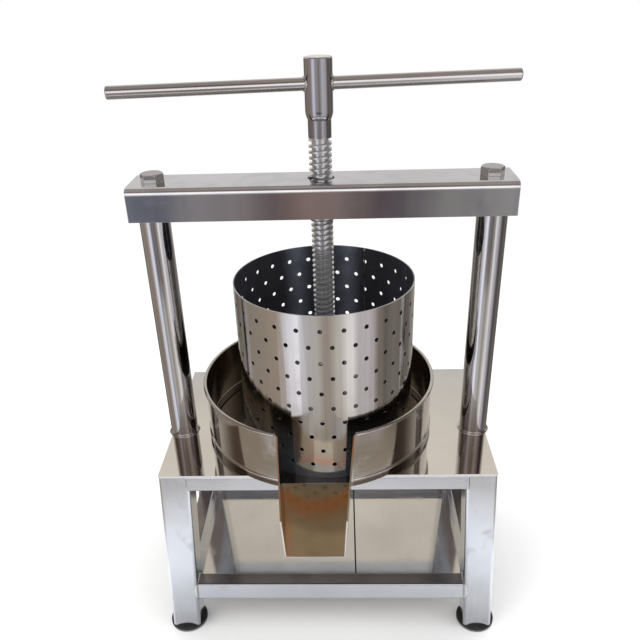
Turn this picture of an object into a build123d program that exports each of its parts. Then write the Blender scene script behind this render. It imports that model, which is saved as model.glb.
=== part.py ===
from build123d import *
import os
from math import asin, ceil, cos, degrees, floor, radians, sin, sqrt, tan

# Manual coconut press, millimetres, +Z up, front towards -Y.
# Pieces are drawn about the axis of the press screw, with the floor at zero height.
# The written origin is on the floor, under the middle of the footprint.

# Base frame
plate_height = 257.0
plate_width = 393.0
plate_front = 94.5
plate_rear = 144.5
plate_thickness = 3.0
leg_size = 36.0
leg_wall = 1.5
leg_corner = 4.0
leg_splay = 3.1
foot_diameter = 48.0
foot_height = 6.0
foot_edge = 1.5
foot_plug_length = 18.0
foot_plug_clearance = 0.1
rail_long_side = 26.0
rail_short_side = 20.0
rail_wall = 1.5
rail_corner = 2.0
lower_rail_top = 81.0
shelf_thickness = 1.5
shelf_seam_x = 34.0
shelf_seam_gap = 2.0

# Posts, beam and bolts
post_inset = 14.0
post_diameter = 33.4
post_wall = 3.4
post_weld = 2.5
post_plug_length = 36.0
beam_clear_height = 284.5
beam_overhang = 19.5
beam_width = 62.5
beam_height = 35.5
beam_sheet = 5.0
beam_bend_radius = 7.0
bolt_diameter = 14.0
bolt_reach = 30.0
bolt_head_flats = 22.0
bolt_head_height = 8.8
bolt_head_bevel = 30.0
bolt_hole_clearance = 0.5
bolt_inset = 3.5
fixed_fit = 0.05

# Press screw, nut and handle
screw_diameter = 24.0
thread_pitch = 6.0
thread_depth = 3.2
thread_crest = 2.0
thread_flank_angle = 15.0
thread_clearance = 0.4
thread_root_bite = 0.4
thread_runout = 0.4
thread_above_beam = 41.5
shank_length = 18.0
screw_hole_clearance = 2.25
nut_diameter = 32.0
nut_length = 38.5
nut_edge = 2.0
hub_diameter = 28.4
hub_height = 59.0
hub_shoulder_height = 9.0
hub_edge = 1.0
tenon_diameter = 20.0
tenon_length = 20.0
handle_diameter = 12.7
handle_length = 413.5
handle_end_round = 1.5
handle_above_hub_bottom = 34.0
handle_rest_angle = 7.5

# Tray and chute
tray_x = -10.5
tray_y = 19.5
tray_radius = 139.5
tray_sheet = 1.5
tray_height = 72.5
tray_floor_thickness = 3.0
tray_bead_diameter = 4.5
tray_rim_offset = 0.5
tray_swage_height = 8.8
tray_swage_offset = 1.5
chute_mouth_width = 76.0
chute_lip_width = 60.0
chute_reach = 90.0
chute_slope = 14.2
chute_wall_height = 48.0
chute_wall_lean = 3.0

# Basket
basket_diameter = 205.0
basket_sheet = 1.5
basket_height = 204.5
basket_seat_gap = 0.1
basket_hole_diameter = 5.0
basket_hole_rows = 10
basket_holes_per_row = 26
basket_row_pitch = 18.7
basket_top_row_drop = 17.7
basket_hole_phase = -1.4

# Press plate and swivel
press_plate_rest = 66.0
press_plate_gap = 3.0
press_plate_thickness = 8.0
press_plate_edge = 1.0
cup_diameter = 44.0
cup_height = 30.0
cup_floor = 6.0
cup_edge = 2.0
thrust_disc_thickness = 3.0
thrust_disc_gap = 0.1
journal_diameter = 16.0
journal_running_fit = 0.06
journal_free_length = 6.0
groove_depth = 2.0
pin_diameter = 5.0
pin_clearance = 0.35

# Spans worked out from the driving dimensions
post_spacing = plate_width - 2 * post_inset
beam_length = post_spacing + 2 * beam_overhang
bolt_x = post_spacing / 2 - bolt_inset

# Heights worked out from the driving dimensions
plate_underside = plate_height - plate_thickness
beam_bottom = plate_height + beam_clear_height
beam_top = beam_bottom + beam_height
web_underside = beam_top - beam_sheet
tray_floor = plate_height + tray_floor_thickness
press_plate_bottom = tray_floor + press_plate_rest
press_plate_top = press_plate_bottom + press_plate_thickness
cup_top = press_plate_top + cup_height
thread_bottom = cup_top + journal_free_length
thread_top = beam_top + thread_above_beam
hub_bottom = thread_top + shank_length
handle_height = hub_bottom + handle_above_hub_bottom
lower_rail_bottom = lower_rail_top - rail_long_side

# Reach of the footprint in front of and behind the screw axis
mouth_wall = tray_height - tray_bead_diameter - tray_floor_thickness
mouth_half = chute_mouth_width / 2 + mouth_wall * tan(radians(chute_wall_lean))
mouth_reach = sqrt((tray_radius - tray_sheet) ** 2 - mouth_half**2)
front_reach = mouth_reach + chute_reach - tray_y
tray_rim_radius = tray_radius + tray_rim_offset + tray_bead_diameter / 2
rear_reach = max(plate_rear - leg_size / 2 + foot_diameter / 2, tray_y + tray_rim_radius)
axis_y = (front_reach - rear_reach) / 2

SIDES = {"left": -1, "right": 1}
ENDS = {"front": -1, "rear": 1}


def save(node, *pieces):
    """Write one node, with each of its pieces moved from the screw axis to the written origin."""
    placed = [Pos(0, axis_y, 0) * piece for piece in pieces]
    shape = placed[0] if len(placed) == 1 else Compound(children=placed)
    export_step(shape, f"parts/{node}.step")


def leg_center_x(height):
    """Distance of a leg's middle from the screw axis plane at a height above the floor."""
    return plate_width / 2 - leg_size / 2 + (plate_underside - height) * tan(radians(leg_splay))


def leg_center_y(end):
    if end < 0:
        return -plate_front + leg_size / 2
    return plate_rear - leg_size / 2


def splayed(section, side, end, bottom, top):
    """Prism that leans with a leg, with level ends at the two heights."""
    lean = (-side * sin(radians(leg_splay)), 0, cos(radians(leg_splay)))
    place = Pos(side * leg_center_x(bottom), leg_center_y(end), bottom)
    return extrude(place * section, amount=(top - bottom) / cos(radians(leg_splay)), dir=lean)


def tube_section(width, height, wall, corner):
    inner = RectangleRounded(width - 2 * wall, height - 2 * wall, corner - wall)
    return RectangleRounded(width, height, corner) - inner


def leg(side, end):
    section = tube_section(leg_size, leg_size, leg_wall, leg_corner)
    return splayed(section, side, end, foot_height, plate_underside)


def leg_block(side, end):
    """Outer shape of a leg without its hollow, to cope the pieces that butt against it."""
    section = RectangleRounded(leg_size, leg_size, leg_corner)
    return splayed(section, side, end, foot_height, plate_underside)


def foot(side, end):
    """Round rubber pad with a square plug inside the leg tube."""
    pad = Cylinder(foot_diameter / 2, foot_height, align=(Align.CENTER, Align.CENTER, Align.MIN))
    pad = chamfer(pad.edges().sort_by(Axis.Z)[-1], foot_edge)
    pad = Pos(side * leg_center_x(foot_height), leg_center_y(end), 0) * pad
    plug_size = leg_size - 2 * leg_wall - 2 * foot_plug_clearance
    plug_section = RectangleRounded(plug_size, plug_size, leg_corner - leg_wall)
    return pad + splayed(plug_section, side, end, foot_height, foot_height + foot_plug_length)


def cross_tube(end, bottom, height, depth):
    """Front or rear tube that runs between two legs, flush with their outer faces."""
    face_y = -plate_front if end < 0 else plate_rear
    middle_y = face_y - end * depth / 2
    section = Plane.YZ * tube_section(depth, height, rail_wall, rail_corner)
    tube = extrude(section, amount=leg_center_x(bottom), both=True)
    tube = Pos(0, middle_y, bottom + height / 2) * tube
    for side in SIDES.values():
        tube -= leg_block(side, end)
    return tube


def side_tube(side, middle_x, bottom, height, width):
    """Side tube that runs between the front and the rear leg."""
    front_y = -plate_front + leg_size
    rear_y = plate_rear - leg_size
    section = Plane.XZ * tube_section(width, height, rail_wall, rail_corner)
    tube = extrude(section, amount=(rear_y - front_y) / 2, both=True)
    return Pos(side * middle_x, (front_y + rear_y) / 2, bottom + height / 2) * tube


def lower_rail_x():
    return leg_center_x(lower_rail_bottom + rail_long_side / 2)


def shelf_sheet(side):
    """One of the two shelf sheets, between the lower rails and coped round the legs."""
    edge_x = side * (lower_rail_x() - rail_short_side / 2)
    seam_x = shelf_seam_x + side * shelf_seam_gap / 2
    front_y = -plate_front + rail_short_side
    rear_y = plate_rear - rail_short_side
    middle_z = lower_rail_bottom + shelf_thickness / 2
    sheet = Box(abs(edge_x - seam_x), rear_y - front_y, shelf_thickness)
    sheet = Pos((edge_x + seam_x) / 2, (front_y + rear_y) / 2, middle_z) * sheet
    for end in ENDS.values():
        sheet -= leg_block(side, end)
    return sheet


def top_plate():
    depth = plate_front + plate_rear
    middle = (plate_rear - plate_front) / 2
    return Pos(0, middle, plate_height - plate_thickness / 2) * Box(plate_width, depth, plate_thickness)


def post(side):
    """Pipe that carries the beam, with its weld bead on the plate."""
    radius = post_diameter / 2
    bore = radius - post_wall
    length = web_underside - plate_height
    profile = Polyline(
        (bore, 0),
        (radius + post_weld, 0),
        (radius, post_weld),
        (radius, length),
        (bore, length),
        close=True,
    )
    pipe = revolve(Plane.XZ * make_face(profile), Axis.Z)
    return Pos(side * post_spacing / 2, 0, plate_height) * pipe


def post_plug(side):
    """Threaded plug in the top of a post."""
    plug = Cylinder(post_diameter / 2 - post_wall - fixed_fit, post_plug_length)
    plug -= Pos(-side * bolt_inset, 0, 0) * Cylinder(bolt_diameter / 2 + fixed_fit, post_plug_length)
    return Pos(side * post_spacing / 2, 0, web_underside - post_plug_length / 2) * plug


def beam_bolts():
    """Two hex bolts that hold the beam down on the posts."""
    head_base = Align.CENTER, Align.CENTER, Align.MIN
    corner_radius = bolt_head_flats / sqrt(3)
    head = extrude(RegularPolygon(corner_radius, 6), amount=bolt_head_height)
    bevel_drop = (corner_radius - bolt_head_flats / 2) * tan(radians(bolt_head_bevel))
    cone_height = corner_radius * tan(radians(bolt_head_bevel))
    cone = Cone(corner_radius, 0, cone_height, align=head_base)
    envelope = Cylinder(corner_radius, bolt_head_height - bevel_drop, align=head_base)
    envelope += Pos(0, 0, bolt_head_height - bevel_drop) * cone
    head &= envelope
    shank_length_total = beam_sheet + bolt_reach
    shank = Cylinder(bolt_diameter / 2, shank_length_total, align=head_base)
    bolt = Pos(0, 0, beam_top) * head + Pos(0, 0, beam_top - shank_length_total) * shank
    return [Pos(side * bolt_x, 0, 0) * bolt for side in SIDES.values()]


def beam():
    """Folded channel, open below, with holes for the screw and the two bolts."""
    inner_width = beam_width - 2 * beam_sheet
    inner_radius = beam_bend_radius - beam_sheet
    outer = Pos(0, beam_height / 2) * Rectangle(beam_width, beam_height)
    outer = fillet(outer.vertices().group_by(Axis.Y)[-1], beam_bend_radius)
    web_gap = beam_height - beam_sheet
    inner = Pos(0, web_gap / 2) * Rectangle(inner_width, web_gap)
    inner = fillet(inner.vertices().group_by(Axis.Y)[-1], inner_radius)
    channel = extrude(Plane.YZ * (outer - inner), amount=beam_length / 2, both=True)
    channel -= Pos(0, 0, beam_height) * Cylinder(screw_diameter / 2 + screw_hole_clearance, 3 * beam_sheet)
    for side in SIDES.values():
        hole = Cylinder(bolt_diameter / 2 + bolt_hole_clearance, 3 * beam_sheet)
        channel -= Pos(side * bolt_x, 0, beam_height) * hole
    return Pos(0, 0, beam_bottom) * channel


def ridge_half_width(radius, growth):
    """Half width of the thread ridge at a radius, grown by a clearance square to its flanks."""
    slant = tan(radians(thread_flank_angle))
    widen = growth / cos(radians(thread_flank_angle))
    return thread_crest / 2 + (screw_diameter / 2 - radius) * slant + widen


def thread_core(bottom, height, growth):
    """Threaded rod: a core with its helical ridge, grown by a clearance to cut the nut."""
    core_radius = screw_diameter / 2 - thread_depth + growth
    root_radius = core_radius - thread_root_bite
    crest_radius = screw_diameter / 2 + growth
    root_half = ridge_half_width(root_radius, growth)
    crest_half = ridge_half_width(crest_radius, growth)
    end_margin = thread_end_margin()
    middle_radius = screw_diameter / 2 - thread_depth / 2
    path = Helix(thread_pitch, height - 2 * end_margin, middle_radius)
    start = Plane(origin=path @ 0, x_dir=(1, 0, 0), z_dir=path % 0)
    profile = Polyline(
        (root_radius - middle_radius, -root_half),
        (crest_radius - middle_radius, -crest_half),
        (crest_radius - middle_radius, crest_half),
        (root_radius - middle_radius, root_half),
        close=True,
    )
    ridge = sweep(start * make_face(profile), path=path, is_frenet=True)
    core = Cylinder(core_radius, height, align=(Align.CENTER, Align.CENTER, Align.MIN))
    return Pos(0, 0, bottom) * (core + Pos(0, 0, end_margin) * ridge)


def thread_end_margin():
    """Plain length at each end of the thread, so that the ridge stays clear of the shoulders."""
    root_radius = screw_diameter / 2 - thread_depth - thread_root_bite
    return ridge_half_width(root_radius, thread_clearance) + thread_runout


def press_nut():
    """Threaded bush welded under the web of the beam."""
    bottom = web_underside - nut_length
    blank = Cylinder(nut_diameter / 2, nut_length, align=(Align.CENTER, Align.CENTER, Align.MIN))
    blank = fillet(blank.edges().group_by(Axis.Z)[0], nut_edge)
    turns_below = floor((bottom - thread_bottom) / thread_pitch) - 2
    cut_bottom = thread_bottom + turns_below * thread_pitch
    cut_turns = ceil((web_underside - cut_bottom) / thread_pitch) + 2
    return Pos(0, 0, bottom) * blank - thread_core(cut_bottom, cut_turns * thread_pitch, thread_clearance)


def screw_spindle():
    """Press screw: journal with its groove, threaded length, plain shank and tenon."""
    journal = journal_diameter / 2
    core = screw_diameter / 2 - thread_depth
    full = screw_diameter / 2
    tenon = tenon_diameter / 2 - fixed_fit
    journal_bottom = press_plate_top + cup_floor + thrust_disc_thickness + thrust_disc_gap
    groove_bottom = pin_height() - pin_diameter / 2 - pin_clearance
    groove_top = pin_height() + pin_diameter / 2 + pin_clearance
    profile = Polyline(
        (0, journal_bottom),
        (journal, journal_bottom),
        (journal, groove_bottom),
        (journal - groove_depth, groove_bottom),
        (journal - groove_depth, groove_top),
        (journal, groove_top),
        (journal, thread_bottom),
        (core, thread_bottom),
        (core, thread_top),
        (full, thread_top),
        (full, hub_bottom),
        (tenon, hub_bottom),
        (tenon, hub_bottom + tenon_length),
        (0, hub_bottom + tenon_length),
        close=True,
    )
    body = revolve(Plane.XZ * make_face(profile), Axis.Z)
    return body + thread_core(thread_bottom, thread_top - thread_bottom, 0)


def handle_direction():
    angle = radians(handle_rest_angle)
    return Vector(cos(angle), sin(angle), 0)


def handle_plane():
    return Plane(origin=(0, 0, handle_height), z_dir=handle_direction())


def handle_hub():
    """Round hub on the screw's tenon, cross-drilled for the handle bar."""
    radius = hub_diameter / 2
    bore = tenon_diameter / 2
    shoulder = TangentArc((radius, hub_shoulder_height), (screw_diameter / 2, 0), tangent=(0, -1))
    rest = Polyline(
        (screw_diameter / 2, 0),
        (bore, 0),
        (bore, tenon_length),
        (0, tenon_length),
        (0, hub_height),
        (radius - hub_edge, hub_height),
        (radius, hub_height - hub_edge),
        (radius, hub_shoulder_height),
    )
    hub = revolve(Plane.XZ * make_face(shoulder + rest), Axis.Z)
    cross = handle_plane() * Cylinder(handle_diameter / 2 + fixed_fit, 2 * hub_diameter)
    return Pos(0, 0, hub_bottom) * hub - cross


def handle_bar():
    bar = Cylinder(handle_diameter / 2, handle_length)
    ends = bar.edges().sort_by(Axis.Z)
    bar = fillet([ends[0], ends[-1]], handle_end_round)
    return handle_plane() * bar


def chute_section(along, grow, lift):
    """Cross-section of the chute at a distance from its mouth, grown by a sheet or raised at the top."""
    taper = (chute_mouth_width - chute_lip_width) / 2 / chute_reach
    lean = tan(radians(chute_wall_lean))
    wall = mouth_wall + (chute_wall_height - mouth_wall) * along / chute_reach
    floor_z = tray_floor_thickness - tan(radians(chute_slope)) * along
    floor_half = chute_mouth_width / 2 - taper * along + grow
    bottom_half = floor_half - grow * lean
    top_half = floor_half + (wall + lift) * lean
    outline = Polyline(
        (-bottom_half, floor_z - grow),
        (bottom_half, floor_z - grow),
        (top_half, floor_z + wall + lift),
        (-top_half, floor_z + wall + lift),
        close=True,
    )
    return Pos(0, -mouth_reach - along, 0) * (Plane.XZ * make_face(outline))


def tray_bead(center_radius, height):
    """Round bead along the tray wall that stops just short of the gap for the chute."""
    lean = tan(radians(chute_wall_lean))
    gap_half = chute_mouth_width / 2 + tray_sheet + (height - tray_floor_thickness) * lean
    stop = degrees(asin(gap_half / (center_radius - tray_bead_diameter)))
    section = Plane.XZ * (Pos(center_radius, height) * Circle(tray_bead_diameter / 2))
    return Rot(0, 0, stop - 90) * revolve(section, Axis.Z, 360 - 2 * stop)


def chute_gap(start):
    """Space taken by the chute, from a distance behind its mouth to beyond its lip."""
    inner = chute_section(start, tray_sheet, tray_height)
    outer = chute_section(chute_reach, tray_sheet, tray_height)
    return loft([inner, outer], ruled=True)


def tray():
    """Round tray wall with a rolled rim, a swaged bead and a gap at the front for the chute."""
    bead_radius = tray_bead_diameter / 2
    wall_top = tray_height - bead_radius
    wall = Pos(tray_radius - tray_sheet / 2, wall_top / 2) * Rectangle(tray_sheet, wall_top)
    side = revolve(Plane.XZ * wall, Axis.Z) - chute_gap(-tray_bead_diameter)
    rim = tray_bead(tray_radius + tray_rim_offset, wall_top)
    swage = tray_bead(tray_radius - bead_radius + tray_swage_offset, tray_swage_height)
    return Pos(tray_x, tray_y, plate_height) * (side + rim + swage)


def tray_floor_disc():
    """Floor of the tray, which lies on the top plate and opens into the chute at the front."""
    radius = tray_radius - tray_sheet - fixed_fit
    base = Align.CENTER, Align.CENTER, Align.MIN
    disc = Cylinder(radius, tray_floor_thickness, align=base) - chute_gap(0)
    return Pos(tray_x, tray_y, plate_height) * disc


def chute():
    """Open sheet trough that leads from the gap in the tray wall down to the pouring lip."""
    outer = loft([chute_section(0, tray_sheet, 0), chute_section(chute_reach, tray_sheet, 0)], ruled=True)
    past = tray_bead_diameter
    root = chute_section(-past, 0, past)
    lip = chute_section(chute_reach + past, 0, past)
    trough = outer - loft([root, lip], ruled=True)
    return Pos(tray_x, tray_y, plate_height) * trough


def basket_wall():
    """Rolled perforated sheet, open at both ends, rows of holes staggered by half a pitch."""
    bottom = tray_floor + basket_seat_gap
    radius = basket_diameter / 2
    base = Align.CENTER, Align.CENTER, Align.MIN
    wall = Cylinder(radius, basket_height, align=base)
    wall -= Cylinder(radius - basket_sheet, basket_height, align=base)
    step = 360 / basket_holes_per_row
    drill = Rot(Y=90) * Cylinder(basket_hole_diameter / 2, 4 * basket_sheet)
    drill = Pos(radius, 0, 0) * drill
    holes = []
    for row in range(basket_hole_rows):
        height = basket_height - basket_top_row_drop - row * basket_row_pitch
        phase = -90 + basket_hole_phase + (row % 2) * step / 2
        for index in range(basket_holes_per_row):
            holes.append(Pos(0, 0, height) * Rot(Z=phase + index * step) * drill)
    return Pos(0, 0, bottom) * (wall - holes)


def press_plate():
    radius = basket_diameter / 2 - basket_sheet - press_plate_gap
    disc = Cylinder(radius, press_plate_thickness, align=(Align.CENTER, Align.CENTER, Align.MIN))
    disc = chamfer(disc.edges().filter_by(GeomType.CIRCLE), press_plate_edge)
    return Pos(0, 0, press_plate_bottom) * disc


def pin_height():
    bore_bottom = press_plate_top + cup_floor + thrust_disc_thickness
    return (bore_bottom + cup_top) / 2


def pin_offset():
    return journal_diameter / 2 - groove_depth + pin_clearance + pin_diameter / 2


def pin_blank(radius):
    """Cross pin or its hole, as long as the chord of the cup where it passes."""
    chord = 2 * sqrt((cup_diameter / 2 - cup_edge) ** 2 - pin_offset() ** 2)
    return Rot(X=90) * Cylinder(radius, chord)


def swivel_cup():
    """Socket welded on the press plate, in which the screw's journal turns."""
    base = Align.CENTER, Align.CENTER, Align.MIN
    cup = Cylinder(cup_diameter / 2, cup_height, align=base)
    cup = chamfer(cup.edges().sort_by(Axis.Z)[-1], cup_edge)
    bore = Cylinder(journal_diameter / 2 + journal_running_fit, cup_height, align=base)
    cup = Pos(0, 0, press_plate_top) * (cup - Pos(0, 0, cup_floor) * bore)
    hole = Rot(X=90) * Cylinder(pin_diameter / 2 + fixed_fit, 2 * cup_diameter)
    for side in SIDES.values():
        cup -= Pos(side * pin_offset(), 0, pin_height()) * hole
    return cup


def retaining_pins():
    blank = pin_blank(pin_diameter / 2)
    return [Pos(side * pin_offset(), 0, pin_height()) * blank for side in SIDES.values()]


def thrust_disc():
    """Bronze disc at the bottom of the cup, under the end of the journal."""
    base = Align.CENTER, Align.CENTER, Align.MIN
    disc = Cylinder(journal_diameter / 2, thrust_disc_thickness, align=base)
    return Pos(0, 0, press_plate_top + cup_floor) * disc


os.makedirs("parts", exist_ok=True)

save("top_plate", top_plate())
for end_name, end in ENDS.items():
    for side_name, side in SIDES.items():
        save(f"leg_{end_name}_{side_name}", leg(side, end))
        save(f"foot_{end_name}_{side_name}", foot(side, end))
    apron_bottom = plate_underside - rail_short_side
    save(f"apron_{end_name}", cross_tube(end, apron_bottom, rail_short_side, rail_long_side))
    save(f"lower_rail_{end_name}", cross_tube(end, lower_rail_bottom, rail_long_side, rail_short_side))
for side_name, side in SIDES.items():
    apron_bottom = plate_underside - rail_short_side
    apron = side_tube(side, post_spacing / 2, apron_bottom, rail_short_side, rail_long_side)
    rail = side_tube(side, lower_rail_x(), lower_rail_bottom, rail_long_side, rail_short_side)
    save(f"apron_{side_name}", apron)
    save(f"lower_rail_{side_name}", rail)
    save(f"shelf_sheet_{side_name}", shelf_sheet(side))
    save(f"post_{side_name}", post(side))
    save(f"post_plug_{side_name}", post_plug(side))
save("beam", beam())
save("beam_bolts", *beam_bolts())
save("press_nut", press_nut())
save("screw_spindle", screw_spindle())
save("handle_hub", handle_hub())
save("handle_bar", handle_bar())
save("tray", tray())
save("tray_floor", tray_floor_disc())
save("chute", chute())
save("basket_wall", basket_wall())
save("press_plate", press_plate())
save("swivel_cup", swivel_cup())
save("retaining_pins", *retaining_pins())
save("thrust_disc", thrust_disc())
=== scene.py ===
from math import cos, pi, radians, sin, sqrt, tan

import bmesh
import bpy
from mathutils import Matrix, Vector


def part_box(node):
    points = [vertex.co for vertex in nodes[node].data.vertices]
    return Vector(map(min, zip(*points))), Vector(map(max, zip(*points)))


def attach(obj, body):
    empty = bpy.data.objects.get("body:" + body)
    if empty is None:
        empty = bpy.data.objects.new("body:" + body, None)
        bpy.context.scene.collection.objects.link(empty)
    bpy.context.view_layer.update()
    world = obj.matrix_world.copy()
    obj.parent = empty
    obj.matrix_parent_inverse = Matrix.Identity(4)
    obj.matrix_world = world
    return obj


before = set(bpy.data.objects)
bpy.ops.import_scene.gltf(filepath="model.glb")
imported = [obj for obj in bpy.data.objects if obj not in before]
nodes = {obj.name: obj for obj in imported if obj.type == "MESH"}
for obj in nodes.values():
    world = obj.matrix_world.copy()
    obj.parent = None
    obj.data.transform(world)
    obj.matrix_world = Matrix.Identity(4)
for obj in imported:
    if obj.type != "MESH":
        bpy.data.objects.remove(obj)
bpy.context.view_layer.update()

# Sizes and places of the press that the looks and the added pieces follow, in metres
PLATE_LOW, PLATE_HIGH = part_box("top_plate")
PLATE_Z = PLATE_HIGH.z
LEG_TOP = PLATE_LOW.z
LEG_SIZE = 0.036
LEG_SPLAY = radians(3.1)
AXIS_Y = 0.5 * (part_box("press_plate")[0].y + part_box("press_plate")[1].y)
BAR_TURN = radians(7.5)
BASKET_LOW, BASKET_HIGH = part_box("basket_wall")
BASKET_SHEET = 0.0015
BASKET_RIM = BASKET_HIGH.z - BASKET_SHEET
BASKET_MIDDLE = (0.0, AXIS_Y)
BASKET_LINING = 0.1018
TRAY_BEHIND_AXIS = 0.0195
TRAY_MIDDLE = (0.5 * (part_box("tray")[0].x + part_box("tray")[1].x), AXIS_Y + TRAY_BEHIND_AXIS)
TRAY_LINING = 0.1388
CHUTE_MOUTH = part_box("chute")[1].y
THREAD_ABOVE_BEAM = 0.0415
THREAD_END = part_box("beam")[1].z + THREAD_ABOVE_BEAM


class Net:
    """Short calls for building one node tree."""

    def __init__(self, tree):
        self.tree = tree
        tree.nodes.clear()

    def add(self, kind, **values):
        """A new node with its settings."""
        node = self.tree.nodes.new(kind)
        for name, value in values.items():
            setattr(node, name, value)
        return node

    def put(self, socket, value):
        """Links another socket to this one, or sets a plain value on it."""
        if isinstance(value, bpy.types.NodeSocket):
            self.tree.links.new(value, socket)
        else:
            socket.default_value = value

    def math(self, operation, a, b=0.0, clamp=False):
        node = self.add("ShaderNodeMath", operation=operation, use_clamp=clamp)
        self.put(node.inputs[0], a)
        self.put(node.inputs[1], b)
        return node.outputs[0]

    def line(self, value, slope, start):
        """The start plus the slope times the value."""
        node = self.add("ShaderNodeMath", operation="MULTIPLY_ADD")
        for socket, item in zip(node.inputs, (value, slope, start)):
            self.put(socket, item)
        return node.outputs[0]

    def vector(self, operation, *values):
        """The outputs of one step of vector arithmetic."""
        node = self.add("ShaderNodeVectorMath", operation=operation)
        for socket, item in zip(node.inputs, values):
            self.put(socket, item)
        return node.outputs

    def span(self, value, low, high, start=0.0, end=1.0):
        """A smooth change from start at the value low to end at the value high."""
        node = self.add("ShaderNodeMapRange", interpolation_type="SMOOTHSTEP")
        for index, item in enumerate((value, low, high, start, end)):
            self.put(node.inputs[index], item)
        return node.outputs[0]

    def fall(self, value, low, high):
        """1 up to the value low, and 0 from the value high."""
        return self.span(value, low, high, start=1.0, end=0.0)

    def window(self, value, rise, fall):
        """1 between the two ranges in which it rises from 0 and falls back to 0."""
        return self.math("MULTIPLY", self.span(value, *rise), self.fall(value, *fall))

    def parts(self, vector):
        node = self.add("ShaderNodeSeparateXYZ")
        self.put(node.inputs[0], vector)
        return node.outputs

    def noise(self, where, scale=1.0, detail=3.0, roughness=0.5, stretch=(1.0, 1.0, 1.0)):
        mapping = self.add("ShaderNodeMapping")
        self.put(mapping.inputs["Vector"], where)
        mapping.inputs["Scale"].default_value = stretch
        node = self.add("ShaderNodeTexNoise")
        self.put(node.inputs["Vector"], mapping.outputs[0])
        node.inputs["Scale"].default_value = scale
        node.inputs["Detail"].default_value = detail
        node.inputs["Roughness"].default_value = roughness
        return node.outputs["Fac"]

    def ramp(self, value, stops):
        node = self.add("ShaderNodeValToRGB")
        self.put(node.inputs[0], value)
        elements = node.color_ramp.elements
        while len(elements) < len(stops):
            elements.new(0.5)
        for element, (position, color) in zip(elements, stops):
            element.position = position
            element.color = (*color, 1.0)
        return node.outputs[0]

    def mix(self, factor, a, b, blend="MIX"):
        node = self.add("ShaderNodeMix", data_type="RGBA", blend_type=blend)
        self.put(node.inputs["Factor"], factor)
        for socket, value in ((node.inputs[6], a), (node.inputs[7], b)):
            self.put(socket, (*value, 1.0) if isinstance(value, tuple) else value)
        return node.outputs[2]

    def bump(self, height, distance, normal=None):
        node = self.add("ShaderNodeBump")
        node.inputs["Strength"].default_value = 1.0
        node.inputs["Distance"].default_value = distance
        self.put(node.inputs["Height"], height)
        if normal is not None:
            self.put(node.inputs["Normal"], normal)
        return node.outputs[0]


def material(name):
    """A new material, with its net, its main shader and each point's place in the piece's own frame."""
    made = bpy.data.materials.new(name)
    made.use_nodes = True
    net = Net(made.node_tree)
    shader = net.add("ShaderNodeBsdfPrincipled")
    net.out = net.add("ShaderNodeOutputMaterial")
    net.put(net.out.inputs["Surface"], shader.outputs[0])
    where = net.add("ShaderNodeTexCoord").outputs["Object"]
    return made, net, shader, where


# Ranges of noise that set clouds, grain, spots, blotches and smudges apart
CLOUDS = (0.3, 0.7)
GRAIN_LINES = (0.35, 0.65)
SPOTS = (0.35, 0.7)
BLOTCHES = (0.2, 0.6)
SMUDGES = (0.52, 0.72)

# Ranges of the cosine between a face and the up direction, a spoke or its rounded normal
LOOKS_UP = (0.6, 0.9)
LOOKS_SIDEWAYS = (0.2, 0.5)
LOOKS_OFF_SPOKE = (0.3, 0.7)
ROUNDED = (0.86, 0.99)

# Shares, shades and sizes (in metres) that the steels have in common
EDGE_RADIUS = 0.0006
LINING_BLEND = (-0.0006, 0.0002)
HOLE_BLEND = 0.0005
SHANK_BLEND = 0.0008
# Fade and share of the painted highlight along rounded edges
EDGE_HIGHLIGHT_BLEND = 0.001
EDGE_HIGHLIGHT_SHARE = 0.6
SIDE_METAL_LOSS = 0.5
BLOTCH_SHARE = 0.55
STRIP_STRETCH = 0.4
GRAIN_SHADE = (0.28, 0.25, 0.22)
# Colour of the painted highlight along rounded edges
EDGE_HIGHLIGHT = (0.90, 0.90, 0.91)
HOLE_SHADE = (0.03, 0.028, 0.027)
# Painted dark reflection on the tops of the low rails
RAIL_TOP_REFLECTION = (0.21, 0.19, 0.18)


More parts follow.
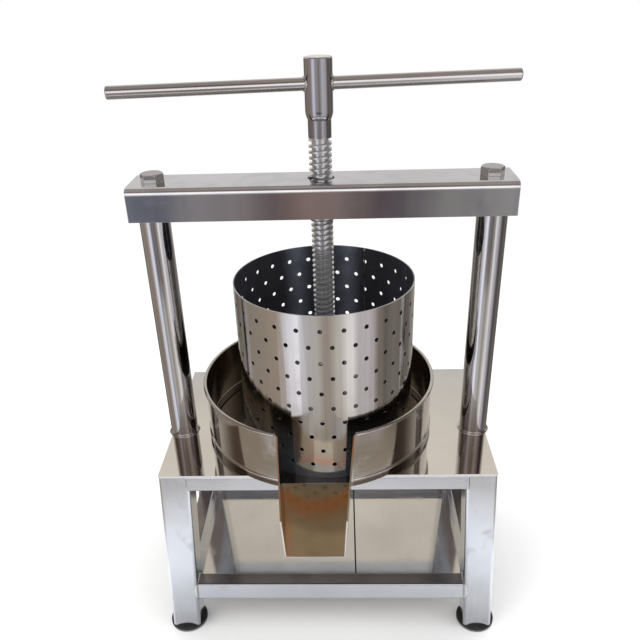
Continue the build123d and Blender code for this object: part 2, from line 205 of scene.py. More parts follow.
class Steel:
    """Stainless steel, coloured in layers from the bare metal up to the painted highlights on its edges."""

    def __init__(self, name, tones, grain, streak=0.08, metal=1.0):
        self.made, self.net, self.shader, self.where = material(name)
        net = self.net
        cloud = net.noise(self.where, scale=8.0)
        self.lines = net.noise(self.where, detail=2.0, roughness=0.6, stretch=grain)
        self.patch = net.noise(self.where, scale=31.0, detail=5.0, roughness=0.6)
        self.outward = net.add("ShaderNodeNewGeometry").outputs["Normal"]
        self.facing = net.parts(self.outward)[2]
        self.x, self.y, self.z = net.parts(self.where)
        self.metal = metal
        self.rounded = None
        self.tint = net.ramp(cloud, tuple(zip(CLOUDS, tones)))
        self.lay(net.span(self.lines, *GRAIN_LINES, start=streak, end=0.0), GRAIN_SHADE)

    def lay(self, share, shade):
        """Lays a shade over the tint, as thickly as the share says."""
        self.tint = self.net.mix(share, self.tint, shade)

    def upward(self):
        """1 on the faces that look up."""
        return self.net.span(self.facing, *LOOKS_UP)

    def spotted(self, shade, darker):
        """The shade with spots that are darker by a factor."""
        spots = self.net.span(self.patch, *SPOTS)
        return self.net.mix(spots, shade, tuple(darker * part for part in shade))

    def from_axis(self, middle):
        """The level way from an upright axis to each point."""
        shift = (-middle[0], -middle[1], 0.0)
        return self.net.vector("MULTIPLY_ADD", self.where, (1.0, 1.0, 0.0), shift)["Vector"]

    def strips(self, scale, low, high, strength, shade):
        """Darker upright strips of painted reflection."""
        pattern = self.net.noise(self.where, detail=1.0, stretch=(scale, scale, STRIP_STRETCH))
        self.lay(self.net.span(pattern, low, high, end=strength), shade)

    def upward_tint(self, shade):
        """A spotted tint on the faces that look up."""
        self.lay(self.upward(), self.spotted(shade, darker=0.85))

    def heat_tint(self, middle, half_width, mouth, reach, shade):
        """The heat tint that bends across the chute below its weld and runs down the chute's left edge."""
        net = self.net
        across = net.math("MULTIPLY", net.math("SUBTRACT", self.x, middle), 1.0 / half_width)
        bend = net.line(net.math("MULTIPLY", across, across), slope=-0.17, start=0.27)
        along = net.math("MULTIPLY", net.math("SUBTRACT", mouth, self.y), 1.0 / reach)
        sway = net.math("MULTIPLY", net.math("SUBTRACT", self.patch, 0.5), 0.10)
        along = net.math("ADD", along, sway)
        band = net.window(net.math("SUBTRACT", along, bend), rise=(-0.10, 0.06), fall=(0.04, 0.36))
        left_edge = net.span(across, low=-1.0, high=-0.55, start=0.75, end=0.0)
        left_edge = net.math("MULTIPLY", left_edge, net.span(along, low=0.15, high=0.4))
        share = net.math("MAXIMUM", band, left_edge)
        self.lay(net.math("MULTIPLY", self.upward(), share), shade)

    def inner_shading(self, middle, radius, inner_shade, reflection_tint, reflection_strips, metal):
        """A spotted painted shade inside a round wall, with brighter bands of painted reflection, each with
        a place and a width in x.
        """
        net = self.net
        away = net.vector("LENGTH", self.from_axis(middle))["Value"]
        within = net.fall(away, *(radius + blend for blend in LINING_BLEND))
        shade = self.spotted(inner_shade, darker=0.8)
        blotch = net.span(self.patch, *BLOTCHES, start=BLOTCH_SHARE)
        for place, width in reflection_strips:
            gap = net.math("ABSOLUTE", net.math("SUBTRACT", self.x, place))
            strip = net.math("MULTIPLY", blotch, net.fall(gap, low=0.0, high=width))
            shade = net.mix(strip, shade, reflection_tint)
        self.lay(within, shade)
        self.metal = net.line(within, slope=metal - 1.0, start=1.0)

    def dark_holes(self, middle, top):
        """Painted shade on the walls in the holes of a round sheet: faces below its top that don't look
        along a spoke.
        """
        net = self.net
        spoke = net.vector("NORMALIZE", self.from_axis(middle))["Vector"]
        lean = net.vector("DOT_PRODUCT", spoke, self.outward)["Value"]
        bore = net.fall(net.math("ABSOLUTE", lean), *LOOKS_OFF_SPOKE)
        below = net.fall(self.z, low=top, high=top + HOLE_BLEND)
        self.lay(net.math("MULTIPLY", bore, below), HOLE_SHADE)

    def foot(self, low, high, shade, metal=1.0):
        """A painted shade and share of metal up to the height low, fading out at the height high."""
        self.lay(self.net.fall(self.z, low, high), shade)
        self.metal = self.net.math("MULTIPLY", self.metal, self.net.span(self.z, low, high, start=metal))

    def plain_shank(self, start, shade):
        """Another shade and full metal above the end of a thread."""
        shank = self.net.span(self.z, low=start, high=start + SHANK_BLEND)
        self.lay(shank, shade)
        self.metal = self.net.line(shank, slope=1.0 - self.metal, start=self.metal)

    def pale_sides(self, shade):
        """Pale, less metallic sides round a level plate: a painted highlight."""
        side = self.net.fall(self.net.math("ABSOLUTE", self.facing), *LOOKS_SIDEWAYS)
        self.lay(side, shade)
        loss = self.net.math("MULTIPLY", side, SIDE_METAL_LOSS)
        self.metal = self.net.math("SUBTRACT", self.metal, loss)

    def painted_edge_highlights(self, radius=EDGE_RADIUS, above=None):
        """Rounded edges with a painted highlight along them, or only those at and above a height."""
        net = self.net
        bevel = net.add("ShaderNodeBevel", samples=4)
        bevel.inputs["Radius"].default_value = radius
        self.rounded = bevel.outputs[0]
        turn = net.vector("DOT_PRODUCT", self.rounded, self.outward)["Value"]
        highlight_mask = net.span(turn, *ROUNDED, start=EDGE_HIGHLIGHT_SHARE, end=0.0)
        if above is not None:
            highlight_mask = net.math("MULTIPLY", highlight_mask, net.span(self.z, low=above - EDGE_HIGHLIGHT_BLEND, high=above))
        self.lay(highlight_mask, EDGE_HIGHLIGHT)

    def surface(self, rough, grain_rough, grain_depth, wave_scale, wave_depth, smudge):
        """Sets the layers, the roughness and the relief on the shader, and returns the material."""
        net = self.net
        net.put(self.shader.inputs["Metallic"], self.metal)
        net.put(self.shader.inputs["Base Color"], self.tint)
        spread = net.line(self.lines, slope=grain_rough, start=rough - 0.5 * grain_rough)
        marks = net.span(self.patch, *SMUDGES, end=smudge)
        net.put(self.shader.inputs["Roughness"], net.math("ADD", spread, marks, clamp=True))
        waves = net.bump(net.noise(self.where, wave_scale, detail=2.0), wave_depth, self.rounded)
        net.put(self.shader.inputs["Normal"], net.bump(self.lines, grain_depth, waves))
        return self.made


# Lower and upper tone of each kind of metal
MIRROR = ((0.60, 0.58, 0.55), (0.68, 0.665, 0.64))
COOL = ((0.58, 0.57, 0.57), (0.66, 0.655, 0.66))
# Posts: darker than the plate's steel, a painted shade
PIPE_SHADED_TONES = ((0.55, 0.54, 0.53), (0.63, 0.62, 0.615))
# Handle bar: darkened, a painted shade
BAR_SHADED_TONES = ((0.48, 0.465, 0.46), (0.57, 0.555, 0.555))
# Hub: darkened, a painted shade
HUB_SHADED_TONES = ((0.42, 0.415, 0.43), (0.52, 0.515, 0.535))
SATIN = ((0.63, 0.66, 0.71), (0.72, 0.745, 0.79))
SHELF_TONES = ((0.47, 0.45, 0.42), (0.58, 0.56, 0.53))
# Tray: darker and browner, a painted shade
TRAY_SHADED_TONES = ((0.47, 0.445, 0.41), (0.56, 0.535, 0.50))
# Tray floor: much darker, a painted shade
TRAY_FLOOR_SHADED_TONES = ((0.25, 0.225, 0.205), (0.34, 0.31, 0.285))
CHUTE_TONES = ((0.44, 0.41, 0.37), (0.53, 0.50, 0.455))
BASKET_TONES = ((0.57, 0.545, 0.51), (0.65, 0.63, 0.60))
TURNED = ((0.50, 0.495, 0.50), (0.62, 0.62, 0.63))
# Bolts: darkened, a painted shade, with a darker tint on their tops
BOLT_SHADED_TONES = ((0.36, 0.345, 0.33), (0.47, 0.455, 0.44))
WELD = ((0.44, 0.41, 0.38), (0.62, 0.61, 0.61))

# Scale of the grain in x, y and z, per metre: high across the polishing lines and low along them
SATIN_UPRIGHT = (1400, 1400, 9)
SATIN_CROSSWISE = (9, 1400, 1400)
SATIN_DEPTHWISE = (1400, 9, 1400)


def plate_steel():
    steel = Steel("polished_plate", MIRROR, grain=(4, 500, 500), streak=0.02)
    steel.pale_sides((0.88, 0.89, 0.92))
    steel.painted_edge_highlights()
    return steel.surface(rough=0.05, grain_rough=0.02, grain_depth=2e-7, wave_scale=5.0, wave_depth=1.2e-4,
                         smudge=0.05)


def beam_steel():
    steel = Steel("polished_beam", COOL, grain=(5, 700, 700), streak=0.03)
    steel.strips(scale=42.0, low=0.47, high=0.62, strength=0.28, shade=(0.40, 0.415, 0.49))
    steel.painted_edge_highlights()
    return steel.surface(rough=0.07, grain_rough=0.03, grain_depth=4e-7, wave_scale=9.0, wave_depth=4e-4,
                         smudge=0.07)


def post_steel():
    steel = Steel("polished_pipe", PIPE_SHADED_TONES, grain=(900, 900, 6), streak=0.05)
    steel.strips(scale=110.0, low=0.46, high=0.58, strength=0.7, shade=(0.24, 0.25, 0.29))
    # A near-white tint on the faces that look up: a painted highlight
    steel.upward_tint((0.94, 0.94, 0.96))
    steel.painted_edge_highlights()
    return steel.surface(rough=0.07, grain_rough=0.03, grain_depth=5e-7, wave_scale=9.0, wave_depth=6e-5,
                         smudge=0.06)


def bar_steel():
    steel = Steel("polished_bar", BAR_SHADED_TONES, grain=(9, 1100, 1100))
    steel.painted_edge_highlights()
    return steel.surface(rough=0.10, grain_rough=0.05, grain_depth=1e-6, wave_scale=14.0, wave_depth=3e-5,
                         smudge=0.08)


def hub_steel():
    steel = Steel("polished_hub", HUB_SHADED_TONES, grain=(40, 40, 1600))
    steel.strips(scale=160.0, low=0.48, high=0.6, strength=0.55, shade=(0.24, 0.24, 0.27))
    steel.painted_edge_highlights()
    return steel.surface(rough=0.09, grain_rough=0.05, grain_depth=1e-6, wave_scale=14.0, wave_depth=3e-5,
                         smudge=0.08)


def leg_steel():
    steel = Steel("satin_upright", SATIN, grain=SATIN_UPRIGHT)
    steel.painted_edge_highlights()
    return steel.surface(rough=0.17, grain_rough=0.07, grain_depth=1.6e-6, wave_scale=12.0,
                         wave_depth=3.2e-4, smudge=0.08)


def tube_steel(name, grain, dark_top=None):
    """The level tubes of the stand, with a painted dark reflection on top of the low ones."""
    steel = Steel(name, SATIN, grain=grain)
    if dark_top:
        steel.upward_tint(dark_top)
    steel.painted_edge_highlights()
    return steel.surface(rough=0.19, grain_rough=0.08, grain_depth=1.6e-6, wave_scale=9.0, wave_depth=1.2e-4,
                         smudge=0.08)


def shelf_steel():
    steel = Steel("polished_shelf", SHELF_TONES, grain=(300, 5, 300), streak=0.03)
    steel.painted_edge_highlights()
    return steel.surface(rough=0.09, grain_rough=0.04, grain_depth=3e-7, wave_scale=4.0, wave_depth=4e-4,
                         smudge=0.08)


def tray_steel():
    steel = Steel("bright_tray_sheet", TRAY_SHADED_TONES, grain=(40, 40, 500), streak=0.05)
    # Painted shade on the inner wall, with one band of painted reflection
    steel.inner_shading(TRAY_MIDDLE, TRAY_LINING, inner_shade=(0.20, 0.165, 0.125), reflection_tint=(0.31, 0.265, 0.20),
                 reflection_strips=((-0.098, 0.022),), metal=0.95)
    # Painted shadow in the recess at the foot of the wall, under the bead
    steel.foot(low=PLATE_Z + 0.0045, high=PLATE_Z + 0.0075, shade=(0.14, 0.115, 0.095))
    steel.painted_edge_highlights()
    return steel.surface(rough=0.09, grain_rough=0.04, grain_depth=6e-7, wave_scale=8.0, wave_depth=2.5e-4,
                         smudge=0.09)


def tray_floor_steel():
    steel = Steel("bright_floor_sheet", TRAY_FLOOR_SHADED_TONES, grain=(60, 60, 60))
    steel.painted_edge_highlights()
    return steel.surface(rough=0.14, grain_rough=0.05, grain_depth=6e-7, wave_scale=8.0, wave_depth=3e-4,
                         smudge=0.1)


def chute_steel():
    steel = Steel("bright_chute_sheet", CHUTE_TONES, grain=(500, 6, 500), streak=0.05)
    steel.upward_tint((0.50, 0.385, 0.23))
    steel.heat_tint(middle=TRAY_MIDDLE[0], half_width=0.036, mouth=CHUTE_MOUTH, reach=0.09,
                    shade=(0.62, 0.28, 0.12))
    steel.painted_edge_highlights()
    return steel.surface(rough=0.12, grain_rough=0.05, grain_depth=6e-7, wave_scale=8.0, wave_depth=3e-4,
                         smudge=0.09)


def basket_steel():
    steel = Steel("bright_basket_sheet", BASKET_TONES, grain=(700, 700, 4))
    # Painted shade on the inner wall, less metallic, with two bands of painted reflection
    steel.inner_shading(BASKET_MIDDLE, BASKET_LINING, inner_shade=(0.095, 0.097, 0.113), reflection_tint=(0.33, 0.355, 0.45),
                 reflection_strips=((-0.036, 0.020), (0.027, 0.021)), metal=0.55)
    steel.dark_holes(BASKET_MIDDLE, BASKET_RIM)
    # A bluish, less metallic tint low on the wall: painted reflection of the dark tray
    steel.foot(low=BASKET_LOW.z + 0.010, high=BASKET_LOW.z + 0.075, shade=(0.37, 0.425, 0.505), metal=0.88)
    steel.painted_edge_highlights(radius=0.0004, above=BASKET_RIM)
    return steel.surface(rough=0.11, grain_rough=0.06, grain_depth=9e-7, wave_scale=9.0, wave_depth=1.5e-4,
                         smudge=0.07)


def thread_steel():
    steel = Steel("turned_thread", TURNED, grain=(300, 300, 2600), metal=0.78)
    steel.plain_shank(THREAD_END, shade=(0.34, 0.33, 0.35))
    return steel.surface(rough=0.13, grain_rough=0.06, grain_depth=1e-6, wave_scale=30.0, wave_depth=2e-5,
                         smudge=0.06)


def turned_steel():
    steel = Steel("turned_parts", TURNED, grain=(60, 60, 2200))
    steel.painted_edge_highlights(radius=0.0005)
    return steel.surface(rough=0.16, grain_rough=0.07, grain_depth=2e-6, wave_scale=20.0, wave_depth=3e-5,
                         smudge=0.08)


def bolt_steel():
    steel = Steel("bright_bolt", BOLT_SHADED_TONES, grain=(900, 60, 900), metal=0.8)
    steel.upward_tint((0.33, 0.305, 0.295))
    steel.painted_edge_highlights(radius=0.0009)
    return steel.surface(rough=0.11, grain_rough=0.05, grain_depth=1e-6, wave_scale=25.0, wave_depth=3e-5,
                         smudge=0.08)


def weld_steel():
    steel = Steel("weld_bead", WELD, grain=(700, 700, 700))
    return steel.surface(rough=0.24, grain_rough=0.12, grain_depth=8e-6, wave_scale=160.0, wave_depth=1.2e-4,
                         smudge=0.1)


def rubber(name, bottom_highlight):
    """Black rubber, with a share of pale painted highlight low down where it meets the floor."""
    made, net, shader, where = material(name)
    dust = net.noise(where, scale=90.0, detail=6.0, roughness=0.65)
    color = net.ramp(dust, ((0.45, (0.011, 0.011, 0.012)), (0.8, (0.045, 0.043, 0.04))))
    # A pale band low on the pad: painted highlight
    low = net.span(net.parts(where)[2], low=0.0012, high=0.0034, start=bottom_highlight, end=0.0)
    net.put(shader.inputs["Base Color"], net.mix(low, color, (0.30, 0.295, 0.29)))
    net.put(shader.inputs["Roughness"], net.span(dust, *CLOUDS, start=0.5, end=0.75))
    net.put(shader.inputs["Normal"], net.bump(net.noise(where, scale=1500.0, detail=2.0), distance=4e-5))
    return made


def bronze():
    """Turned bronze for the thrust disc."""
    made, net, shader, where = material("bearing_bronze")
    shader.inputs["Metallic"].default_value = 1.0
    cloud = net.noise(where, scale=60.0, detail=4.0)
    color = net.ramp(cloud, ((0.3, (0.42, 0.27, 0.11)), (0.7, (0.62, 0.44, 0.22))))
    net.put(shader.inputs["Base Color"], color)
    net.put(shader.inputs["Roughness"], net.span(cloud, *CLOUDS, start=0.2, end=0.38))
    turned = net.noise(where, detail=2.0, stretch=(80, 80, 2400))
    net.put(shader.inputs["Normal"], net.bump(turned, distance=3e-6))
    return made


finish = {
    "plate": plate_steel(),
    "beam": beam_steel(),
    "post": post_steel(),
    "bar": bar_steel(),
    "hub": hub_steel(),
    "leg": leg_steel(),
    "apron_x": tube_steel("satin_crosswise", SATIN_CROSSWISE),
    "apron_y": tube_steel("satin_depthwise", SATIN_DEPTHWISE),
    "rail_x": tube_steel("satin_low_crosswise", SATIN_CROSSWISE, RAIL_TOP_REFLECTION),
    "rail_y": tube_steel("satin_low_depthwise", SATIN_DEPTHWISE, RAIL_TOP_REFLECTION),
    "shelf": shelf_steel(),
    "tray": tray_steel(),
    "tray_floor": tray_floor_steel(),
    "chute": chute_steel(),
    "basket": basket_steel(),
    "thread": thread_steel(),
    "turned": turned_steel(),
    "bolt": bolt_steel(),
    "weld": weld_steel(),
    # Pads, pale low down as a painted highlight
    "rubber": rubber("black_rubber_pad", bottom_highlight=0.75),
    # A dark strip in the shelf seam: painted shade
    "seam_shade": rubber("painted_seam_shade", bottom_highlight=0.0),
    "bronze": bronze(),
}

ENDS = ("front", "rear")
SIDES = ("left", "right")
CORNERS = [f"{end}_{side}" for end in ENDS for side in SIDES]
LOOKS = {
    "plate": ["top_plate"],
    "beam": ["beam"],
    "post": ["post_left", "post_right"],
    "bar": ["handle_bar"],
    "hub": ["handle_hub"],
    "leg": [f"leg_{corner}" for corner in CORNERS],
    "apron_x": ["apron_front", "apron_rear"],
    "apron_y": ["apron_left", "apron_right"],
    "rail_x": ["lower_rail_front", "lower_rail_rear"],
    "rail_y": ["lower_rail_left", "lower_rail_right"],
    "shelf": ["shelf_sheet_left", "shelf_sheet_right"],
    "tray": ["tray"],
    "tray_floor": ["tray_floor"],
    "chute": ["chute"],
    "basket": ["basket_wall"],
    "thread": ["screw_spindle"],
    "turned": ["press_nut", "post_plug_left", "post_plug_right", "press_plate", "swivel_cup",
               "retaining_pins"],
    "bolt": ["beam_bolts"],
    "bronze": ["thrust_disc"],
    "rubber": [f"foot_{corner}" for corner in CORNERS],
}
for look, names in LOOKS.items():
    for name in names:
        for slot in nodes[name].material_slots:
            slot.material = finish[look]


def piece(name, build, look, body):
    """One added piece, built by a bmesh function, dressed and tied to a CAD body."""
    mesh = bpy.data.meshes.new(name)
    shape = bmesh.new()
    build(shape)
    bmesh.ops.recalc_face_normals(shape, faces=shape.faces)
    for face in shape.faces:
        face.smooth = True
    shape.to_mesh(mesh)
    shape.free()
    made = bpy.data.objects.new(name, mesh)
    bpy.context.scene.collection.objects.link(made)
    mesh.materials.append(finish[look])
    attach(made, body)


def join(shape, first, second):
    """Faces between two rings with the same number of corners."""
    count = len(first)
    for index in range(count):
        after = (index + 1) % count
        shape.faces.new((first[index], first[after], second[after], second[index]))


def waver(step, waves):
    """Sum of sine waves, each with a size and a rate per step."""
    return sum(size * sin(step * rate) for size, rate in waves)


def rod(shape, rings):
    """A closed rod through a row of rings."""
    for first, second in zip(rings, rings[1:]):
        join(shape, first, second)
    shape.faces.new(rings[0])
    shape.faces.new(rings[-1])


# Weld beads: sizes in metres, counts, shares of the radius, and radians per metre
BEAD_SIDES = 10
BEAD_STEP = 0.0007
CORNER_EASE = 0.002
CORNER_STEPS = 4
TUBE_DROP = 0.0024
HANDLE_DROP = 0.0026
HANDLE_BEAD = 0.0014
HANDLE_STEPS = 72
DROP_SWELL = 0.16
WOBBLE = 0.06
WOBBLE_RATE = 977.0
TUBE_WELDS = (("lower_rail", 0.0013, "weld"), ("apron", 0.0007, "leg"))


def bead(points, radius, drop):
    """A weld bead along a closed line, with the overlapping scales of its drops."""
    # A direction that no bead runs along
    reference = Vector((0.31, 0.52, 0.79))

    def build(shape):
        rings = []
        run = 0.0
        for index, point in enumerate(points):
            ahead = points[(index + 1) % len(points)]
            along = (ahead - points[index - 1]).normalized()
            run += (ahead - point).length
            swell = radius * (1.0 + DROP_SWELL * (run / drop % 1.0 - 0.5) + WOBBLE * sin(run * WOBBLE_RATE))
            side = along.cross(reference).normalized()
            over = along.cross(side)
            ring = []
            for corner in range(BEAD_SIDES):
                angle = 2 * pi * corner / BEAD_SIDES
                ring.append(shape.verts.new(point + swell * (cos(angle) * side + sin(angle) * over)))
            rings.append(ring)
        for index, ring in enumerate(rings):
            join(shape, ring, rings[(index + 1) % len(rings)])

    return build


def loop_around(center, across, up, width, height):
    """Points round a rectangle with eased corners."""
    line = []
    for quarter, (side, end) in enumerate(((-1, -1), (1, -1), (1, 1), (-1, 1))):
        corner_x = side * (width / 2 - CORNER_EASE)
        corner_y = end * (height / 2 - CORNER_EASE)
        for step in range(CORNER_STEPS + 1):
            angle = radians(-180 + 90 * quarter + 90 * step / CORNER_STEPS)
            line.append((corner_x + CORNER_EASE * cos(angle), corner_y + CORNER_EASE * sin(angle)))
    points = []
    for index, (x, y) in enumerate(line):
        next_x, next_y = line[(index + 1) % len(line)]
        count = max(1, round(sqrt((next_x - x) ** 2 + (next_y - y) ** 2) / BEAD_STEP))
        for step in range(count):
            point_x = x + (next_x - x) * step / count
            point_y = y + (next_y - y) * step / count
            points.append(center + point_x * across + point_y * up)
    return points


def leg_inner_x(height):
    """Half the distance between the legs' inner faces, at a height."""
    return 0.5 * (PLATE_HIGH.x - PLATE_LOW.x) - LEG_SIZE + (LEG_TOP - height) * tan(LEG_SPLAY)


def tube_weld(name, line, radius, look):
    """The bead round one end of a rail or an apron."""
    piece(f"weld_{name}", bead(line, radius, TUBE_DROP), look, "frame")


for tube, bead_radius, bead_look in TUBE_WELDS:
    for end in ENDS:
        low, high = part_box(f"{tube}_{end}")
        middle = (low + high) / 2
        for side, sign in zip(SIDES, (-1, 1)):
            lean = Vector((sign * -sin(LEG_SPLAY), 0, cos(LEG_SPLAY)))
            center = Vector((sign * leg_inner_x(middle.z), middle.y, middle.z))
            line = loop_around(center, Vector((0, 1, 0)), lean, high.y - low.y, high.z - low.z)
            tube_weld(f"{tube}_{end}_{side}", line, bead_radius, bead_look)
    for side in SIDES:
        low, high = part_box(f"{tube}_{side}")
        middle = (low + high) / 2
        for end, y in zip(ENDS, (low.y, high.y)):
            center = Vector((middle.x, y, middle.z))
            line = loop_around(center, Vector((1, 0, 0)), Vector((0, 0, 1)), high.x - low.x, high.z - low.z)
            tube_weld(f"{tube}_{side}_{end}", line, bead_radius, bead_look)


def handle_welds():
    """Beads where the cross bar passes through the hub."""
    hub_low, hub_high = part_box("handle_hub")
    bar_low, bar_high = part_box("handle_bar")
    hub_radius = (hub_high.x - hub_low.x) / 2
    bar_radius = (bar_high.z - bar_low.z) / 2
    middle = Vector((0, AXIS_Y, (bar_low.z + bar_high.z) / 2))
    bar_way = Vector((cos(BAR_TURN), sin(BAR_TURN), 0))
    bar_side = Vector((-sin(BAR_TURN), cos(BAR_TURN), 0))
    for side, sign in zip(SIDES, (-1, 1)):
        line = []
        for step in range(HANDLE_STEPS):
            angle = 2 * pi * step / HANDLE_STEPS
            level = bar_radius * cos(angle)
            rise = Vector((0, 0, bar_radius * sin(angle)))
            out = sqrt(hub_radius**2 - level**2)
            line.append(middle + level * bar_side + rise + sign * out * bar_way)
        ring = bead(line, HANDLE_BEAD, HANDLE_DROP)
        piece(f"weld_handle_{side}", ring, "weld", "screw")


handle_welds()


def basket_seam(shape):
    """The low ridge of the butt weld up the inside of the basket wall."""
    inner = (BASKET_HIGH.x - BASKET_LOW.x) / 2 - BASKET_SHEET
    seam_angle = radians(61.3)
    end_gap = 0.0006
    steps = 59
    # Offset along the wall and lift off it
    ridge = ((-0.0010, -0.0002), (-0.0005, 0.00028), (0.0, 0.0004), (0.0005, 0.00028), (0.0010, -0.0002))
    rings = []
    for step in range(steps + 1):
        z = BASKET_LOW.z + end_gap + (BASKET_HIGH.z - BASKET_LOW.z - 2 * end_gap) * step / steps
        drift = waver(step, ((0.00015, 0.9), (0.0001, 2.3)))
        ring = []
        for offset, lift in ridge:
            angle = seam_angle + (offset + drift) / inner
            reach = inner - lift
            ring.append(shape.verts.new((reach * cos(angle), AXIS_Y + reach * sin(angle), z)))
        rings.append(ring)
    rod(shape, rings)


piece("basket_seam", basket_seam, "weld", "basket")


def shelf_seam(shape):
    """A dark ridged strip in the seam between the two shelf sheets, where the gap is in shade: painted
    shade.
    """
    left_low, left_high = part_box("shelf_sheet_left")
    right_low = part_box("shelf_sheet_right")[0]
    middle = 0.5 * (left_high.x + right_low.x)
    half = 0.5 * (right_low.x - left_high.x)
    end_gap = 0.0005
    steps = 110
    # Share of half the seam's width, and share of the sheet's thickness
    outline = ((-1.0, 0.15), (-1.0, 0.9), (-0.55, 1.12), (0.0, 1.2), (0.55, 1.12), (1.0, 0.9), (1.0, 0.15))
    underside = 0.2
    rings = []
    for step in range(steps + 1):
        y = left_low.y + end_gap + (left_high.y - left_low.y - 2 * end_gap) * step / steps
        ripple = waver(step, ((0.05, 1.7), (0.04, 0.61)))
        ring = []
        for across, up in outline:
            share = up + ripple if up > underside else up
            z = left_low.z + (left_high.z - left_low.z) * share
            ring.append(shape.verts.new((middle + half * across, y, z)))
        rings.append(ring)
    rod(shape, rings)


piece("shelf_seam", shelf_seam, "seam_shade", "frame")


def ground(shape):
    """A wide level disc just under the feet."""
    steps = 96
    radius = 9
    z = -0.0002
    center = shape.verts.new((0, 0, z))
    rim = []
    for step in range(steps):
        angle = 2 * pi * step / steps
        rim.append(shape.verts.new((radius * cos(angle), radius * sin(angle), z)))
    for step in range(steps):
        shape.faces.new((center, rim[step], rim[(step + 1) % steps]))


def floor_look():
    """Pale floor that takes the shadow of the press and turns plain white further out."""
    made, net, shader, where = material("pale_floor")
    cloud = net.noise(where, scale=3.0)
    color = net.ramp(cloud, ((0.3, (0.915, 0.915, 0.915)), (0.7, (0.935, 0.935, 0.93))))
    net.put(shader.inputs["Base Color"], color)
    net.put(shader.inputs["Roughness"], net.span(cloud, *CLOUDS, start=0.75, end=0.9))
    away = net.vector("LENGTH", where)["Value"]
    white = net.add("ShaderNodeEmission")
    fade = net.add("ShaderNodeMixShader")
    net.put(fade.inputs[0], net.span(away, low=0.55, high=2.2))
    net.put(fade.inputs[1], shader.outputs[0])
    net.put(fade.inputs[2], white.outputs[0])
    net.put(net.out.inputs["Surface"], fade.outputs[0])
    return made


def studio_floor():
    """The floor, which is not part of the press."""
    mesh = bpy.data.meshes.new("studio_floor")
    shape = bmesh.new()
    ground(shape)
    shape.to_mesh(mesh)
    shape.free()
    mesh.materials.append(floor_look())
    floor = bpy.data.objects.new("studio_floor", mesh)
    bpy.context.scene.collection.objects.link(floor)
    floor.visible_glossy = False


studio_floor()

# Walls of the room that the steel mirrors: degrees from the press's front, below 0 to its left, and colour
WALLS = (
    (-180, (0.55, 0.54, 0.53)),
    (-160, (0.45, 0.43, 0.41)),
    (-142, (0.15, 0.13, 0.11)),
    (-122, (0.34, 0.30, 0.27)),
    (-85, (0.39, 0.335, 0.285)),
    (-60, (0.47, 0.39, 0.325)),
    (-50, (0.90, 0.90, 1.0)),
    (-33, (1.3, 1.3, 1.45)),
    (-26, (0.68, 0.68, 0.74)),
    (-10, (0.66, 0.64, 0.62)),
    (4, (0.44, 0.38, 0.34)),
    (18, (0.72, 0.70, 0.66)),
    (34, (1.15, 1.13, 1.16)),
    (44, (0.68, 0.66, 0.70)),
    (60, (0.72, 0.68, 0.74)),
    (72, (0.30, 0.26, 0.235)),
    (82, (0.18, 0.163, 0.152)),
    (100, (0.25, 0.228, 0.21)),
    (130, (0.15, 0.132, 0.12)),
    (150, (0.32, 0.29, 0.27)),
    (180, (0.55, 0.54, 0.53)),
)

# Darker things that stand low before the press's front, in the same way
CLUTTER = (
    (-20, (0.34, 0.35, 0.40)),
    (-14.6, (0.12, 0.13, 0.17)),
    (-13.4, (0.31, 0.30, 0.32)),
    (-8, (0.32, 0.28, 0.28)),
    (-5, (0.15, 0.11, 0.11)),
    (-2.5, (0.36, 0.26, 0.24)),
    (0, (0.29, 0.23, 0.21)),
    (3, (0.13, 0.10, 0.11)),
    (7, (0.24, 0.23, 0.24)),
    (9.2, (0.38, 0.36, 0.35)),
    (11, (0.21, 0.21, 0.22)),
    (14, (0.42, 0.40, 0.41)),
)

# Rows under the walls, each below a range of heights on the unit sphere: dado, bright strip and floor
LOW_ROWS = (
    (-0.60, -0.55, (0.38, 0.32, 0.255)),
    (-0.67, -0.62, (1.55, 1.57, 1.63)),
    (-0.75, -0.69, (0.36, 0.345, 0.33)),
)
BACK_WALL = (0.95, 0.90, 0.83)
HIGH_BACK = ((0.76, 0.75, 0.75), (0.90, 0.845, 0.765))
HIGH_FRONT_SHADE = (0.44, 0.36, 0.33)
LAMP = (1.55, 1.53, 1.58)
CEILING = (0.41, 0.375, 0.35)


def around(degrees):
    """Share of the turn from straight behind, over the left, the front and the right, to behind again."""
    return 0.5 + degrees / 360


def sector(net, bearing, outer, inner):
    """1 within the inner angle to both sides of the press's front, 0 beyond the outer one."""
    rise = (around(-outer), around(-inner))
    fall = (around(inner), around(outer))
    return net.window(bearing, rise, fall)


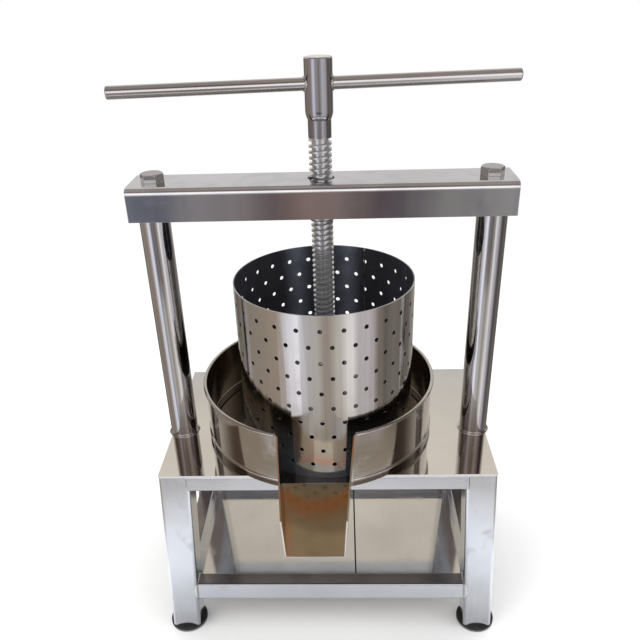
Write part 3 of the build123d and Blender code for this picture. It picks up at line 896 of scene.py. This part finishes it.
def mirrored_room(net, way):
    """Colour of the room for each direction."""
    x, y, z = net.parts(way)
    turn = net.math("ARCTAN2", x, net.math("MULTIPLY", y, -1.0))
    bearing = net.line(turn, slope=0.5 / pi, start=0.5)
    walls = net.ramp(bearing, [(around(degrees), color) for degrees, color in WALLS])

    # Clutter with uneven outlines
    mottle = net.noise(way, scale=9.0, roughness=0.6)
    uneven = net.line(mottle, slope=0.012, start=net.math("SUBTRACT", bearing, 0.006))
    clutter = net.ramp(uneven, [(around(degrees), color) for degrees, color in CLUTTER])
    low = net.window(z, rise=(-0.42, -0.37), fall=(-0.24, -0.19))
    ahead = net.math("MULTIPLY", sector(net, bearing, outer=27, inner=21), low)
    room = net.mix(ahead, walls, clutter)
    for bottom, top, color in LOW_ROWS:
        room = net.mix(net.fall(z, bottom, top), room, color)

    # A pale wall behind, and the upper part of the room, darker in front than behind
    behind = net.math("MULTIPLY", net.span(y, low=0.45, high=0.75), net.span(z, low=0.02, high=0.08))
    room = net.mix(behind, room, BACK_WALL)
    backward = net.mix(net.span(z, low=0.46, high=0.58), *HIGH_BACK)
    forward = net.mix(1.0, walls, HIGH_FRONT_SHADE, blend="MULTIPLY")
    above = net.mix(net.span(y, low=0.05, high=0.55), forward, backward)
    room = net.mix(net.span(z, low=0.16, high=0.26), room, above)

    # A broad lamp in front and the ceiling
    lamp = net.window(z, rise=(-0.02, 0.04), fall=(0.42, 0.60))
    lamp = net.math("MULTIPLY", lamp, sector(net, bearing, outer=48, inner=34))
    room = net.mix(lamp, room, LAMP)
    return net.mix(net.span(z, low=0.80, high=0.90), room, CEILING)


def surroundings():
    """A room for the polished steel to mirror, and a plain white backdrop for all other rays."""
    world = bpy.data.worlds.new("studio")
    bpy.context.scene.world = world
    world.use_nodes = True
    net = Net(world.node_tree)
    way = net.add("ShaderNodeTexCoord").outputs["Generated"]
    mirrored = net.add("ShaderNodeBackground")
    net.put(mirrored.inputs["Color"], mirrored_room(net, way))
    backdrop = net.add("ShaderNodeBackground")
    backdrop.inputs["Color"].default_value = (1.0, 1.0, 1.0, 1.0)
    choose = net.add("ShaderNodeMixShader")
    net.put(choose.inputs[0], net.add("ShaderNodeLightPath").outputs["Is Glossy Ray"])
    net.put(choose.inputs[1], backdrop.outputs[0])
    net.put(choose.inputs[2], mirrored.outputs[0])
    net.put(net.add("ShaderNodeOutputWorld").inputs["Surface"], choose.outputs[0])


surroundings()


def softbox(name, place, target, size, power, tint):
    """A square area light that polished steel doesn't mirror."""
    light = bpy.data.lights.new(name, "AREA")
    light.shape = "RECTANGLE"
    light.size = size
    light.size_y = size
    light.energy = power
    light.color = tint
    made = bpy.data.objects.new(name, light)
    made.location = place
    made.visible_glossy = False
    made.rotation_euler = (Vector(target) - Vector(place)).to_track_quat("-Z", "Y").to_euler()
    bpy.context.scene.collection.objects.link(made)


softbox("key", place=(-1.6, -1.4, 2.6), target=(0, 0, 0.3), size=1.6, power=26, tint=(1.0, 0.99, 0.97))
softbox("fill", place=(1.9, -0.8, 2.2), target=(0, 0, 0.3), size=1.4, power=12, tint=(0.97, 0.98, 1.0))
softbox("top", place=(0.0, 0.6, 3.0), target=(0, 0, 0), size=2.4, power=16, tint=(1.0, 1.0, 1.0))

# The photo's camera, as solved from its perspective: pixels, radians, and metres from the point where
# the screw's axis meets the top plate
PHOTO_PIXELS = 640
FOCAL_PIXELS = 699.96
CENTER_SHIFT_PIXELS = 30
PITCH, ROLL, YAW = 0.5003, -0.03141, 0.03897
CAMERA_RIGHT, CAMERA_FRONT, CAMERA_UP = 0.02182, 0.7331, 0.5142
SENSOR_WIDTH = 36.0


def photo_camera():
    """The camera at the photo's place, turned and shifted as the photo was taken."""
    right = Vector((cos(YAW), sin(YAW), 0))
    ahead = Vector((-sin(YAW), cos(YAW), 0))
    up = Vector((0, 0, 1))
    sight = cos(PITCH) * ahead - sin(PITCH) * up
    top = sin(PITCH) * ahead + cos(PITCH) * up
    across = cos(ROLL) * right + sin(ROLL) * top
    upward = -sin(ROLL) * right + cos(ROLL) * top
    data = bpy.data.cameras.new("photo_camera")
    data.sensor_width = SENSOR_WIDTH
    data.lens = FOCAL_PIXELS / PHOTO_PIXELS * SENSOR_WIDTH
    data.shift_y = CENTER_SHIFT_PIXELS / PHOTO_PIXELS
    camera = bpy.data.objects.new("photo_camera", data)
    place = Matrix.Translation((CAMERA_RIGHT, AXIS_Y - CAMERA_FRONT, PLATE_Z + CAMERA_UP))
    camera.matrix_world = place @ Matrix((across, upward, -sight)).transposed().to_4x4()
    bpy.context.scene.collection.objects.link(camera)
    bpy.context.scene.camera = camera


photo_camera()
bpy.context.scene.view_settings.view_transform = "Standard"

bpy.context.view_layer.update()
